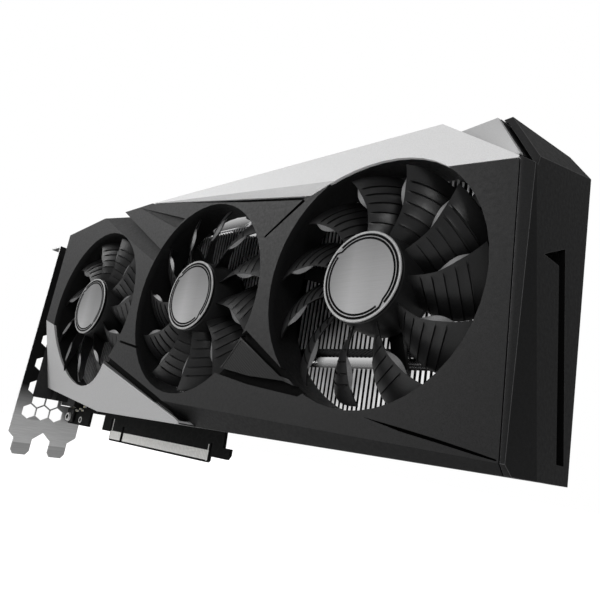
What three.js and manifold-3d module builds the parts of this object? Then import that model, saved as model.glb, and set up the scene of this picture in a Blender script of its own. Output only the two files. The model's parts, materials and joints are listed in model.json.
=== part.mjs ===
// Dual-slot graphics card with three fans.  Millimetres.
// Frame: origin at the centre of the bottom face of the edge connector tab,
// +X towards the tail end, -Y the fan side, +Z away from the motherboard.
import * as THREE from 'three';
import { mergeVertices } from 'three/addons/utils/BufferGeometryUtils.js';
import Module from 'manifold-3d';

const wasm = await Module();
wasm.setup();

// ---------------------------------------------------------------- dimensions
const FAN_X = [-26.6, 56.46, 139.5];   // fan axes along the card
const FAN_Z = 62.1;                    // height of the fan axes
const FAN_HAND = [1, -1, 1];           // the middle fan turns the other way
const HOLE_R = 38.3;                   // fan opening radius
const BLADE_R = 36.8;                  // blade tip radius
const HUB_R = 15.0;                    // rotor cup radius
const EMBLEM_R = 13.9;                 // plain disc on the rotor cup
const BLADES = 11;
const Y_FRONT = -35.5;                 // front face of the shroud
const Y_SKIRT = -12.0;                 // rear edge of the shroud skirt
const Z_TOP = 110.4;                   // top of the shroud
const Z_BOT = 13.3;                    // bottom of the shroud
const X_LEFT = -75.5;                  // left edge of the front face
const X_TAIL = 187.8;                  // tail face
const SKIN = 2.0;                      // shroud wall
const PANEL = 1.2;                     // silver panel thickness
const GAP = 0.3;                       // air between touching pieces
const PCB_T = 1.57;                    // board thickness
const PCB_Y0 = -PCB_T / 2, PCB_Y1 = PCB_T / 2;
const PCB_X0 = -93.0, PCB_X1 = 99.0;   // board ends
const PCB_Z0 = 4.4, PCB_Z1 = 107.0;    // board bottom and top
const TAB = 85.0;                      // x16 edge length
const BRK_X0 = -95.0, BRK_T = 0.86;    // bracket outer face and sheet
const BRK_Y0 = -31.9, BRK_Y1 = 6.84;   // bracket width 38.74
const BRK_ZT = 104.0, BRK_H = 120.02;  // bracket top and height
const BP_Y0 = 2.9, BP_Y1 = 4.4;        // backplate

// ---------------------------------------------------------------- helpers
const BIG = 800;
function toM(geo) {
  const g = geo.index ? geo.clone() : geo.clone();
  g.deleteAttribute('normal'); g.deleteAttribute('uv');
  const m = mergeVertices(g, 1e-4);
  return new wasm.Manifold(new wasm.Mesh({
    numProp: 3,
    vertProperties: new Float32Array(m.attributes.position.array),
    triVerts: new Uint32Array(m.index.array),
  }));
}
function box(x0, x1, y0, y1, z0, z1) {
  const g = new THREE.BoxGeometry(x1 - x0, y1 - y0, z1 - z0);
  g.translate((x0 + x1) / 2, (y0 + y1) / 2, (z0 + z1) / 2);
  return toM(g);
}
// prism of a 2-D outline [x, z] between two y values
function prismY(pts, y0, y1, holes = []) {
  const s = new THREE.Shape(pts.map(p => new THREE.Vector2(p[0], p[1])));
  for (const h of holes) s.holes.push(new THREE.Path(h.map(p => new THREE.Vector2(p[0], p[1]))));
  const g = new THREE.ExtrudeGeometry(s, { depth: y1 - y0, bevelEnabled: false });
  g.rotateX(Math.PI / 2);            // (x, y, z) -> (x, -z, y)
  g.translate(0, y1, 0);
  return toM(g);
}
// prism of a 2-D outline [y, z] between two x values
function prismX(pts, x0, x1, holes = []) {
  const s = new THREE.Shape(pts.map(p => new THREE.Vector2(p[0], p[1])));
  for (const h of holes) s.holes.push(new THREE.Path(h.map(p => new THREE.Vector2(p[0], p[1]))));
  const g = new THREE.ExtrudeGeometry(s, { depth: x1 - x0, bevelEnabled: false });
  const m = new THREE.Matrix4().makeBasis(
    new THREE.Vector3(0, 1, 0), new THREE.Vector3(0, 0, 1), new THREE.Vector3(1, 0, 0));
  g.applyMatrix4(m);
  g.translate(x0, 0, 0);
  return toM(g);
}
function ring(n, r, cx = 0, cz = 0, ph = 0) {
  const a = [];
  for (let i = 0; i < n; i++) {
    const t = ph + 2 * Math.PI * i / n;
    a.push([cx + r * Math.cos(t), cz + r * Math.sin(t)]);
  }
  return a;
}
const cylY = (x, z, r, y0, y1, n = 48, ph = 0) => prismY(ring(n, r, x, z, ph), y0, y1);
// everything in front of the plane n.p = d
function outside(n, d) {
  const v = new THREE.Vector3(...n).normalize();
  const g = new THREE.BoxGeometry(BIG, BIG, BIG);
  g.translate(0, 0, BIG / 2 + d);
  g.applyQuaternion(new THREE.Quaternion().setFromUnitVectors(new THREE.Vector3(0, 0, 1), v));
  return toM(g);
}
function add(list) { let a = list[0]; for (const b of list.slice(1)) a = a.add(b); return a; }
function sub(a, list) { for (const b of list) a = a.subtract(b); return a; }

const group = new THREE.Group();
function put(name, man, color, metal = 0.1, rough = 0.6) {
  const m = man.getMesh();
  const g = new THREE.BufferGeometry();
  g.setAttribute('position', new THREE.BufferAttribute(new Float32Array(m.vertProperties), 3));
  g.setIndex(new THREE.BufferAttribute(new Uint32Array(m.triVerts), 1));
  const flat = g.toNonIndexed();
  flat.computeVertexNormals();
  const mesh = new THREE.Mesh(flat, new THREE.MeshStandardMaterial({ color, metalness: metal, roughness: rough }));
  mesh.material.name = name + '_mat';
  mesh.name = name;
  group.add(mesh);
}

// ---------------------------------------------------------------- shroud
// outer planes of the faceted cover: [normal, offset]
const PLANES = [
  [[0, -1, 0], -Y_FRONT],
  [[0, 0, 1], Z_TOP],
  [[-0.0962, 0, 0.9954], 113.46],      // upper left slope
  [[-1, 0, 0], -X_LEFT],
  [[-0.121, 0, -0.9927], -12.2],       // lower left slope
  [[0, 0, -1], -Z_BOT],
  [[1, 0, 0], X_TAIL],
  [[0.039, -0.946, 0.322], 69.45],     // upper silver facet
  [[0.806, -0.177, 0.564], 207.8],     // roof of the tail
  [[-0.086, -0.954, -0.286], 24.15],   // lower silver facet
  [[0.967, -0.252, -0.036], 187.35],   // front edge of the tail
];
const BEVEL = [[-0.0276, -0.6892, -0.724], 7.99];     // bottom bevel, right of the lower silver panel
const BEVEL_AREA = [[47, 21.5], [66, 13.6], [66, -5], [240, -5], [240, 60], [47, 60]];
const RAMP = [[0.2538, -0.8365, 0.4855], 74.16];      // sunken ramp between the left and middle fans
const RAMP_AREA = [[-40, 113], [-15.9, 113], [-15.9, 110.3], [25.8, 85.2], [21.4, 80.0], [-40, 112]];
const RAMP_WALL = [[-44, 113], [-13.6, 113], [-13.6, 111], [28.5, 86], [24, 76], [-44, 108]];
const unit = ([n, d]) => [n, d / Math.hypot(...n)];
function cover(t, yBack) {
  let a = box(-120, 230, -60, yBack, -20, 140);
  for (const [n, d] of PLANES) {
    const l = Math.hypot(...n);
    a = a.subtract(outside(n, d / l - t));
  }
  const [bn, bd] = unit(BEVEL);
  return a.subtract(outside(bn, bd - t).intersect(prismY(BEVEL_AREA, -60, yBack)));
}
const ramp = (area, t) => outside(unit(RAMP)[0], unit(RAMP)[1] - t).intersect(prismY(area, -60, -20));
// recess of the small wing at the top right, in front of its sloping face
const APEX = [156.5, 110.4], CORNER = [184.9, 89.0];
function wing(t) {
  // half-space to the right of the line from the apex to the corner
  const dx = CORNER[0] - APEX[0], dz = CORNER[1] - APEX[1];
  const n = [-dz, 0, dx], l = Math.hypot(...n);
  const d = (n[0] * APEX[0] + n[2] * APEX[1]) / l;
  const right = box(100, 260, -60, 40, 60, 150).subtract(outside([-n[0], 0, -n[2]], -d + t * 0));
  const face = outside([-0.12, -0.923, 0.365], 43.07 / Math.hypot(0.12, 0.923, 0.365) - t);
  return right.intersect(face);
}
const ductRings = FAN_X.map(x => cylY(x, FAN_Z, HOLE_R + 2.0, -60, -21.0, 48)
  .subtract(cylY(x, FAN_Z, HOLE_R + 0.5, -61, -20, 48)));
const fanHoles = FAN_X.map(x => cylY(x, FAN_Z, HOLE_R, -61, -10, 48));
const solid0 = cover(0, Y_SKIRT);
const solidP = cover(PANEL + GAP, Y_SKIRT);
const solidI = cover(SKIN + 1.2, Y_SKIRT + 20).subtract(ramp(RAMP_WALL, SKIN));
let shroud = solid0.subtract(solidI);
shroud = shroud.add(add(ductRings).intersect(solid0));
shroud = shroud.add(box(-86, -73.6, -24, -22, 24, 104)).add(box(-86, -84, -24, Y_SKIRT, 24, 104));
// side skirt at the lower left, with a sloping front
const SKIRT_N = [-0.45, -0.893, 0], SKIRT_D = 62.4;
let skirt = box(-82.5, -75.85, -34, Y_SKIRT, 15.6, 57).subtract(outside(SKIRT_N, SKIRT_D));
skirt = skirt.subtract(box(-80.6, -70, -40, Y_SKIRT + 1, 14, 58).subtract(outside(SKIRT_N, SKIRT_D - 2)).subtract(box(-77.6, -60, -60, 0, 0, 80)));
skirt = skirt.add(box(-82.5, -73.6, -21.6, -19.6, 15.6, 57));
shroud = shroud.add(skirt);
shroud = sub(shroud, fanHoles);
// the tail end is closed by its own cover
const TAIL_X = 183.6;
shroud = shroud.subtract(box(TAIL_X, 230, -60, 0, -20, 140));
shroud = shroud.subtract(outside([0.806, -0.177, 0.564], 207.8 / Math.hypot(0.806, 0.177, 0.564) - 2.6));
shroud = shroud.subtract(wing(1.6));
shroud = shroud.subtract(ramp(RAMP_AREA, 0));

// silver panels
const upperOutline = g => [[6 - g * 3, 111.5 + g], [12 - g * 2, 109.9 - g], [113, 93.2 - g], [121.7, 96.2 - g * 1.3],
  [164.6 + g, 91.6 - g], [184.6 + g * 1.2, 89.2 - g], [156.5 + g * 1.2, 110.6 + g], [156.5 + g, 113]];
const lowerOutline = g => [[-77, 57.1 + g], [-73.8, 56.2 + g], [-66.2 - 0, 54.2 + g], [-3.1 + g, 34.9 + g * 1.1],
  [64.7 + g * 3, 14.5 + g * 1.1], [64.7 + g * 3, 12], [-77, 12]];
const R_PANEL = HOLE_R + 0.02;
const panelHoles = FAN_X.map(x => cylY(x, FAN_Z, R_PANEL, -61, -10, 48));
const layer = solid0.subtract(cover(PANEL, Y_SKIRT + 20));
const upper = sub(layer.intersect(prismY(upperOutline(0), -60, Y_SKIRT)), panelHoles)
  .subtract(box(-10, 200, -60, 0, 108.9, 140).intersect(box(-10, 200, -27.5, 0, 60, 140))).subtract(box(183.3, 200, -60, 0, 60, 140));
const lower = sub(layer.intersect(prismY(lowerOutline(0), -60, Y_SKIRT)), panelHoles)
  .subtract(box(-90, -60, -22, 0, 0, 80)).subtract(box(-90, 80, -22, 0, 0, 30));
const deeper = solid0.subtract(solidP);
shroud = shroud.subtract(deeper.intersect(prismY(upperOutline(GAP), -60, -20)));
shroud = shroud.subtract(deeper.intersect(prismY(lowerOutline(GAP), -60, -20)));
put('front_shroud', biggest(shroud), 0x2b2b2c);
put('silver_panel_upper', biggest(upper), 0xd9dadb, 0.7, 0.35);
put('silver_panel_lower', biggest(lower), 0xb9babb, 0.7, 0.35);

function biggest(man) {
  const parts = man.decompose();
  let best = parts[0];
  for (const p of parts) if (Math.abs(p.volume()) > Math.abs(best.volume())) best = p;
  return best;
}

// tail cover: end wall with a roof, vertical slot and a sloping rear edge
const TAIL_OUT = 1.8;
let tail = cover(0, BP_Y1);
tail = tail.subtract(cover(TAIL_OUT, BP_Y1 + 20));
tail = tail.subtract(box(-200, TAIL_X + GAP, -60, 60, -20, 92));
tail = tail.subtract(box(-200, 172.3, -60, 60, -20, 140));
tail = tail.subtract(box(-200, 230, -60, 60, -20, 140).intersect(
  outside([-0.806, 0.177, -0.564], -(207.8 / Math.hypot(0.806, 0.177, 0.564) - 2.3)))
  .subtract(box(TAIL_X + GAP, 230, -60, 60, -20, 140)));
tail = tail.subtract(outside([0, 0.9942, -0.1075], (4.4 * 0.9942 - 101.3 * 0.1075)));
tail = tail.subtract(wing(2.3));
// vertical slot, wider at its upper end
tail = tail.subtract(prismX([[-13.4, 18.0], [-8.4, 18.0], [-13.9, 72.5], [-27.5, 66.2], [-17.6, 66.6]], 180, 200));
put('tail_cover', biggest(tail), 0x232324);

// small wing under the roof of the tail
let wingPlate = prismY([[158.6, 109.9], [174.2, 109.9], [183.9, 91.0], [182.6, 91.0]], -60, -10);
const wf = n => outside([-0.12, -0.923, 0.365], 43.07 / Math.hypot(0.12, 0.923, 0.365) - n);
wingPlate = wingPlate.subtract(wf(0)).intersect(wf(1.3));
wingPlate = wingPlate.subtract(outside([0.806, -0.177, 0.564], 207.8 / Math.hypot(0.806, 0.177, 0.564) - 2.65));
wingPlate = wingPlate.subtract(box(TAIL_X - 0.3, 200, -60, 0, 0, 140));
put('wing_trim', biggest(wingPlate), 0xa9aaab, 0.6, 0.4);

// ---------------------------------------------------------------- fans
function sweep(r) {                   // leading edge angle in degrees
  const t = [[13, 0], [19, 0], [23, 1], [29, 6], [33, 9], [37, 13]];
  for (let i = 0; i < t.length - 1; i++)
    if (r <= t[i + 1][0]) return t[i][1] + (t[i + 1][1] - t[i][1]) * (r - t[i][0]) / (t[i + 1][0] - t[i][0]);
  return 13;
}
const PHASE = [97, 85, 97];
function blade(hand, phase, cx) {
  const RS = [13.6, 20.5, 29, BLADE_R];
  const chord = [25, 27, 27, 24];
  const pos = [], idx = [];
  const NC = 3;
  RS.forEach((r, i) => {
    for (let s = 0; s < 2; s++)
      for (let k = 0; k < NC; k++) {
        const u = k / (NC - 1);
        const th = (phase + hand * (sweep(r) - u * chord[i])) * Math.PI / 180;
        const camber = 1.3 * Math.sin(Math.PI * u);
        const yl = -33.2, yt = -23.6 + (i === 0 ? -0.8 : 0);
        const y = yl + (yt - yl) * u - camber * 0.6 + (s ? 0.65 : -0.65);
        pos.push(cx + r * Math.cos(th), y, FAN_Z + r * Math.sin(th));
      }
  });
  const id = (i, s, k) => (i * 2 + s) * NC + k;
  const q = (a, b, c, d) => idx.push(a, b, c, a, c, d);
  for (let i = 0; i < RS.length - 1; i++) {
    for (let k = 0; k < NC - 1; k++) {
      q(id(i, 0, k), id(i, 0, k + 1), id(i + 1, 0, k + 1), id(i + 1, 0, k));
      q(id(i, 1, k), id(i + 1, 1, k), id(i + 1, 1, k + 1), id(i, 1, k + 1));
    }
    q(id(i, 0, 0), id(i + 1, 0, 0), id(i + 1, 1, 0), id(i, 1, 0));
    q(id(i, 0, NC - 1), id(i, 1, NC - 1), id(i + 1, 1, NC - 1), id(i + 1, 0, NC - 1));
  }
  for (let k = 0; k < NC - 1; k++) {
    q(id(0, 0, k), id(0, 1, k), id(0, 1, k + 1), id(0, 0, k + 1));
    const n = RS.length - 1;
    q(id(n, 0, k), id(n, 0, k + 1), id(n, 1, k + 1), id(n, 1, k));
  }
  if (hand > 0) for (let i = 0; i < idx.length; i += 3) [idx[i + 1], idx[i + 2]] = [idx[i + 2], idx[i + 1]];
  const g = new THREE.BufferGeometry();
  g.setAttribute('position', new THREE.BufferAttribute(new Float32Array(pos), 3));
  g.setIndex(idx);
  let m = toM(g);
  if (m.volume() < 0) {
    for (let i = 0; i < idx.length; i += 3) [idx[i + 1], idx[i + 2]] = [idx[i + 2], idx[i + 1]];
    g.setIndex(idx); m = toM(g);
  }
  return m;
}
const SIDE = ['left', 'middle', 'right'];
FAN_X.forEach((cx, f) => {
  const hand = FAN_HAND[f];
  // rotor cup, open to the rear, with a seat for the disc and a shaft hole
  let cup = cylY(cx, FAN_Z, HUB_R, -35.6, -22.4, 32)
    .subtract(cylY(cx, FAN_Z, 13.0, -33.2, -20, 32))
    .subtract(cylY(cx, FAN_Z, EMBLEM_R + 0.25, -37, -34.9, 32))
    .subtract(cylY(cx, FAN_Z, 2.25, -36, -30, 24));
  const blades = [];
  for (let b = 0; b < BLADES; b++) blades.push(blade(hand, PHASE[f] + b * 360 / BLADES, cx));
  const rotor = add([cup, ...blades.map(b => b.subtract(cylY(cx, FAN_Z, 13.9, -40, -10, 32)))]);
  put('rotor_' + SIDE[f], rotor, 0x1c1c1d, 0.1, 0.45);
  put('emblem_' + SIDE[f], cylY(cx, FAN_Z, EMBLEM_R, -36.4, -35.2, 40), 0xb8b8b8, 0.9, 0.3);
  put('shaft_' + SIDE[f], cylY(cx, FAN_Z, 1.93, -34.6, -22.4, 24), 0xcfd2d6, 0.9, 0.25);
  put('magnet_ring_' + SIDE[f], prismY(ring(24, 12.7, cx, FAN_Z), -32.6, -25.0, [ring(24, 11.3, cx, FAN_Z)]), 0x3a3a3e, 0.5, 0.5);
  // motor base: disc, bearing tube and three arms to the rear edge of the duct
  let base = cylY(cx, FAN_Z, 14.0, -21.4, -19.6, 24)
    .add(cylY(cx, FAN_Z, 4.4, -32.0, -20.0, 16))
    .subtract(cylY(cx, FAN_Z, 2.0, -33, -22.0, 24));
  const arms = [];
  for (let k = 0; k < 3; k++) {
    const g = new THREE.BoxGeometry(29, 1.5, 4.6);
    g.translate(26.0, 0, 0);
    g.rotateY(-(30 + 120 * k + 15 * hand) * Math.PI / 180);
    g.translate(cx, -19.9, FAN_Z);
    arms.push(toM(g));
  }
  base = add([base, ...arms]);
  put('motor_base_' + SIDE[f], base, 0x202021, 0.1, 0.6);
  put('stator_coil_' + SIDE[f], prismY(ring(9, 10.6, cx, FAN_Z), -31.4, -24.6, [ring(16, 4.8, cx, FAN_Z)]), 0x9a5a2c, 0.6, 0.5);
});

// ---------------------------------------------------------------- board
const pcbPts = [
  [PCB_X0, PCB_Z1], [PCB_X0, PCB_Z0], [-68.1, PCB_Z0], [-68.1, 12.0], [-51.6, 12.0], [-51.6, PCB_Z0],
  [-43.3, PCB_Z0], [-43.3, 11.0], [-42.5, 11.0], [-42.5, 0.8], [-41.7, 0],
  [-30.95, 0], [-30.95, 8.0], [-29.05, 8.0], [-29.05, 0],
  [41.7, 0], [42.5, 0.8], [42.5, 8.2], [43.4, 8.2], [43.4, 2.6], [54.1, 2.6], [55.4, 4.4], [55.4, 7.0], [50.8, 7.0], [50.3, 14.4],
  [PCB_X1, 14.4], [PCB_X1, PCB_Z1],
].reverse();
const screwHoles = [[-15, 40], [30, 40], [-15, 85], [30, 85]].map(([x, z]) => ring(10, 1.9, x, z));
put('pcb', prismY(pcbPts, PCB_Y0, PCB_Y1, screwHoles), 0x161716, 0.1, 0.55);
for (const [side, ya, yb] of [['front', PCB_Y0 - 0.11, PCB_Y0 - 0.06], ['rear', PCB_Y1 + 0.06, PCB_Y1 + 0.11]]) {
  put('edge_contacts_short_' + side, box(-41.9, -31.3, ya, yb, 0.9, 5.0), 0xd9d6c8, 0.9, 0.35);
  put('edge_contacts_long_' + side, box(-28.7, 41.9, ya, yb, 0.9, 5.0), 0xd9d6c8, 0.9, 0.35);
}
// processor package, memory, power stage
put('gpu_substrate', box(-11, 26, -2.2, PCB_Y0 - GAP, 44, 81), 0x2d4a36, 0.1, 0.5);
put('gpu_die', box(0, 17, -3.1, -2.5, 54, 71.5), 0x5d6168, 0.7, 0.2);
const MEM = [[-24, 32], [-24, 50], [-24, 68], [32, 42], [32, 60], [-4, 88]];
MEM.slice(0, 6).forEach(([x, z], i) => put('memory_chip_' + (i + 1), box(x - (i < 3 ? 6 : 0), x + (i < 3 ? 6 : 12), -2.2, PCB_Y0 - GAP, z, z + 14), 0x1a1a1b, 0.1, 0.5));
for (let i = 0; i < 2; i++) put('choke_' + (i + 1), box(55.5, 62.5, -4.6, PCB_Y0 - GAP, 32 + 26 * i, 39 + 26 * i), 0x4a4b4d, 0.2, 0.6);
for (let i = 0; i < 2; i++) put('capacitor_' + (i + 1), cylY(72, 35.5 + 26 * i, 3.2, -5.0, PCB_Y0 - GAP, 16), 0xb9bcc0, 0.8, 0.35);

// ---------------------------------------------------------------- cooler
put('cold_plate', box(-14, 29, -5.2, -3.4, 41, 84), 0xb87333, 0.9, 0.3);

const pipePaths = [
  [[-62, 92.0], [-52, 92.0], [-30, 77.5], [-14, 77.5], [29, 77.5], [42, 86], [50, 98.5], [60, 98.5], [70, 90.0], [97, 90.0], [108, 100.5], [168, 100.5]],
  [[-62, 34.0], [-52, 34.0], [-30, 48.0], [-14, 48.0], [29, 48.0], [44, 44.5], [56, 41.5], [168, 41.5]],
  [[-66, 62.5], [168, 62.5]],
];
const PIPE_R = 2.6, PIPE_Y = -8.4;
pipePaths.forEach((pts, i) => {
  const vs = pts.map(p => new THREE.Vector3(p[0], PIPE_Y, p[1]));
  const path = new THREE.CurvePath();
  if (vs.length === 2) path.add(new THREE.LineCurve3(vs[0], vs[1]));
  const curve = vs.length === 2 ? new THREE.LineCurve3(vs[0], vs[1])
    : new THREE.CatmullRomCurve3(vs, false, 'catmullrom', 0.12);
  const s = new THREE.Shape(ring(10, PIPE_R, 0, 0, Math.PI / 10).map(p => new THREE.Vector2(p[0], p[1])));
  const g = new THREE.ExtrudeGeometry(s, { steps: vs.length === 2 ? 1 : 22, extrudePath: curve, bevelEnabled: false });
  let m = toM(g);
  if (m.volume() < 0) throw new Error('pipe inside out');
  put('heatpipe_' + (i + 1), m, 0xd7d8d9, 0.95, 0.2);
});
// fin stacks: upright fins tied by rails, grooved for the pipes
function stack(name, x0, x1, n, z0, z1, yr, rails) {
  const parts = [];
  const pitch = (x1 - x0 - 0.8) / (n - 1);
  for (let i = 0; i < n; i++) parts.push(box(x0 + i * pitch, x0 + i * pitch + 0.8, -18.2, yr, z0, z1));
  for (const z of rails) parts.push(box(x0, x1, yr - 3.0, yr - 1.4, z, z + 1.6));

  let m = add(parts);
  return m;
}
function grooves(m, list) { return sub(m, list); }
const grooveOf = (pts, x0, x1) => {
  const out = [];
  for (let i = 0; i < pts.length - 1; i++) {
    const [a, b] = [pts[i], pts[i + 1]];
    const dx = b[0] - a[0], dz = b[1] - a[1], L = Math.hypot(dx, dz);
    const g = new THREE.BoxGeometry(L + 6.0, 9.6, PIPE_R * 2 + 2.4);
    g.rotateY(-Math.atan2(dz, dx));
    g.translate((a[0] + b[0]) / 2, PIPE_Y + 9.6 / 2 - PIPE_R - 0.4, (a[1] + b[1]) / 2);
    out.push(toM(g));
  }
  return out;
};
const allGrooves = pipePaths.flatMap(p => grooveOf(p));
const F1 = biggest(grooves(stack('a', -68, -20, 8, 24, 103, -6.2, [28, 84.5]), allGrooves));
const F2 = biggest(grooves(stack('b', -17, 92, 12, 24, 106.6, -6.2, [28, 68.5, 82.5]), allGrooves).subtract(box(73.4, 96.2, -40, 0, 96.8, 130)));
const F3 = biggest(grooves(stack('c', 101, 172, 10, 24, 106.6, 0.6, [30, 52, 90]), allGrooves));
put('fin_stack_left', F1, 0xa7a9ab, 0.9, 0.35);
put('fin_stack_middle', F2, 0xa7a9ab, 0.9, 0.35);
put('fin_stack_tail', F3, 0xa7a9ab, 0.9, 0.35);

// ---------------------------------------------------------------- bracket
const zt = BRK_ZT - BRK_H;
const brkOutline = [
  [BRK_Y0, BRK_ZT], [BRK_Y0, 6.0], [BRK_Y0 + 0.0, -4.5], [-28.3, -7.4], [-28.3, zt + 2.2], [-26.6, zt], [-19.8, zt], [-18.1, zt + 2.2],
  [-18.1, -7.4], [-12.8, -3.2], [-7.8, -7.4], [-7.8, zt + 2.2], [-6.1, zt], [0.7, zt], [2.4, zt + 2.2], [2.4, -7.4],
  [BRK_Y1, -4.0], [BRK_Y1, BRK_ZT],
].reverse();
// honeycomb of vents with upright sides
const VENT_W = 7.1, VENT_R = 4.1, VENT_PY = 7.8, VENT_PZ = 6.75, VENT_Z0 = 7.5;
const hexV = (y, z) => [[y, z - VENT_R], [y + VENT_W / 2, z - VENT_R / 2], [y + VENT_W / 2, z + VENT_R / 2], [y, z + VENT_R], [y - VENT_W / 2, z + VENT_R / 2], [y - VENT_W / 2, z - VENT_R / 2]];
const vents = [];
for (let j = 0; j < 14; j++) {
  const z = VENT_Z0 + j * VENT_PZ, ys = j % 2 ? [-20.1, -12.3] : [-24.0, -16.2];
  if (j === 0) ys.push(-8.4);
  for (const y of ys) if (z < 97) vents.push(hexV(y, z));
}
const ports = [];
const PORT = [['displayport_1', 22.0, 16.4, 5.2], ['displayport_2', 42.5, 16.4, 5.2], ['hdmi_1', 63.0, 15.2, 5.4], ['hdmi_2', 83.5, 15.2, 5.4]];
const PORT_Y = -4.0;
for (const [, z, w, h] of PORT) ports.push([[PORT_Y - h / 2 - 0.4, z - w / 2 - 0.4], [PORT_Y + h / 2 + 0.4, z - w / 2 - 0.4], [PORT_Y + h / 2 + 0.4, z + w / 2 + 0.4], [PORT_Y - h / 2 - 0.4, z + w / 2 + 0.4]]);
let brk = prismX(brkOutline, BRK_X0, BRK_X0 + BRK_T, [...vents, ...ports]);
// screw tab turned outwards at the top, with a notch
let tabPlate = box(BRK_X0 - 11.4, BRK_X0 + BRK_T, BRK_Y0, BRK_Y1, BRK_ZT - BRK_T, BRK_ZT);
for (const y of [-22.9, -2.6]) tabPlate = tabPlate.subtract(toM(new THREE.CylinderGeometry(2.2, 2.2, 4, 16).rotateX(Math.PI / 2).translate(BRK_X0 - 7.0, y, BRK_ZT)))
  .subtract(box(BRK_X0 - 20, BRK_X0 - 7.0, y - 2.2, y + 2.2, BRK_ZT - 3, BRK_ZT + 3));
tabPlate = tabPlate.subtract(box(BRK_X0 - 20, BRK_X0 - 0.6, -14.8, -10.6, BRK_ZT - 3, BRK_ZT + 3));
brk = brk.add(tabPlate);
// foot turned inwards that takes the two board screws
brk = brk.add(box(BRK_X0, -86.0, -2.2, PCB_Y0 - GAP, 5.4, 13.0)).add(box(BRK_X0, -86.0, -2.2, PCB_Y0 - GAP, 94, 101));
put('io_bracket', brk, 0x8f9194, 0.9, 0.35);
for (const [name, z, w, h] of PORT) {
  const shell = box(BRK_X0 + 0.1, -78.5, PORT_Y - h / 2, Math.min(PORT_Y + h / 2, PCB_Y0 - GAP), z - w / 2, z + w / 2)
    .subtract(box(BRK_X0 - 1, -83.5, PORT_Y - h / 2 + 0.5, Math.min(PORT_Y + h / 2, PCB_Y0 - GAP) - 0.5, z - w / 2 + 0.5, z + w / 2 - 0.5))
    .add(box(-90, -83, PORT_Y - 0.7, PORT_Y + 0.7, z - w / 2 + 2.2, z + w / 2 - 2.2));
  put(name, shell, 0xb5b8ba, 0.9, 0.3);
}
for (const [i, z] of [[1, 8.0], [2, 97.5]]) put('bracket_screw_' + i, cylY(-89.6, z, 2.4, -3.8, -2.5, 12), 0x8a8d90, 0.9, 0.3);

// ---------------------------------------------------------------- power inlet
let pw = box(74, 95.6, -11.6, PCB_Y0 - GAP, 97.4, 111.6);
const cells = [];
for (let i = 0; i < 4; i++) for (let j = 0; j < 2; j++)
  cells.push(box(75.1 + i * 4.95, 79.0 + i * 4.95, -10.7 + j * 4.7, -6.9 + j * 4.7, 101, 113));
put('power_connector', sub(pw, cells), 0x141414, 0.05, 0.5);

// ---------------------------------------------------------------- backplate
const bpPts = [[-86, 17], [-86, 106], [-78, 109.6], [178.6, 109.6], [180.6, 106.2], [182.6, 103.4], [182.6, 17], [176, 14.5], [-60, 14.5]];
const bpOpen = [[106, 34], [114, 27], [156, 27], [170, 40], [170, 94], [161, 103], [114, 103], [106, 96]];
const bpHoles = [[-15, 40], [30, 40], [-15, 85], [30, 85]].map(([x, z]) => ring(12, 3.0, x, z));
put('backplate', prismY(bpPts, BP_Y0, BP_Y1, [bpOpen, ...bpHoles]), 0x19191a, 0.3, 0.5);
// sprung screws of the cooler
[[-15, 40], [30, 40], [-15, 85], [30, 85]].forEach(([x, z], i) => {
  put('cooler_screw_' + (i + 1), cylY(x, z, 2.5, PCB_Y1 + 0.3, 3.6, 12).add(cylY(x, z, 1.4, -3.0, 2.0, 10)), 0x9a9da0, 0.9, 0.3);
});

export default group;
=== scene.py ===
# Looks for the graphics card: studio scene, detailed fans, cover, fins, board and bracket.
import json
import math
import random
import bpy
import bmesh
import numpy as np
from mathutils import Matrix, Vector


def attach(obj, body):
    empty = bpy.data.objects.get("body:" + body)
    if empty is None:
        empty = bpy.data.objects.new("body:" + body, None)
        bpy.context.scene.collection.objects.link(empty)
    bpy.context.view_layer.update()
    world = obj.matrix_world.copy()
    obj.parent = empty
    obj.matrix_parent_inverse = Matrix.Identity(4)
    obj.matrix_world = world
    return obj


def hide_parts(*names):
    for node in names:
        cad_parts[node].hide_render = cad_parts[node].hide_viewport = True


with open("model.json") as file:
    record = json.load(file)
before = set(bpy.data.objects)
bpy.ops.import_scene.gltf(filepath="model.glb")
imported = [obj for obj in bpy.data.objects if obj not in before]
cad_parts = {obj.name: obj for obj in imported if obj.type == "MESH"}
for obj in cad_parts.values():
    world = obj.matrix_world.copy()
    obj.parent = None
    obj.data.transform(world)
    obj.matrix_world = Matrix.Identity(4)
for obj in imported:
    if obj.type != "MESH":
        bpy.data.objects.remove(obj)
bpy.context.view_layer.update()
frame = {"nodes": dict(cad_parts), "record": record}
N = frame["nodes"]
MM = 0.001
random.seed(7)

FAN_X = [-26.6, 56.46, 139.5]
FAN_Z = 62.1
HAND = [1, -1, 1]
SIDE = ["left", "middle", "right"]
HOLE_R = 38.3
Y_FRONT = -35.5

# ------------------------------------------------------------------ camera
cam_data = bpy.data.cameras.new("camera")
cam = bpy.data.objects.new("camera", cam_data)
bpy.context.scene.collection.objects.link(cam)
R = Vector((0.724094, 0.671071, 0.159221)); U = Vector((0.058318, -0.289601, 0.955369)); B = Vector((0.687231, -0.682492, -0.248834))
cam.matrix_world = Matrix(((R.x, U.x, B.x, 0.238237), (R.y, U.y, B.y, -0.156879), (R.z, U.z, B.z, 0.012274), (0, 0, 0, 1)))
cam_data.sensor_width = 36.0
cam_data.lens = 565.996 / 600 * 36.0
cam_data.clip_start = 0.005
cam_data.clip_end = 50
bpy.context.scene.camera = cam
sc = bpy.context.scene
sc.view_settings.view_transform = "Standard"
sc.view_settings.look = "None"
sc.render.resolution_x = 600
sc.render.resolution_y = 600

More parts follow.
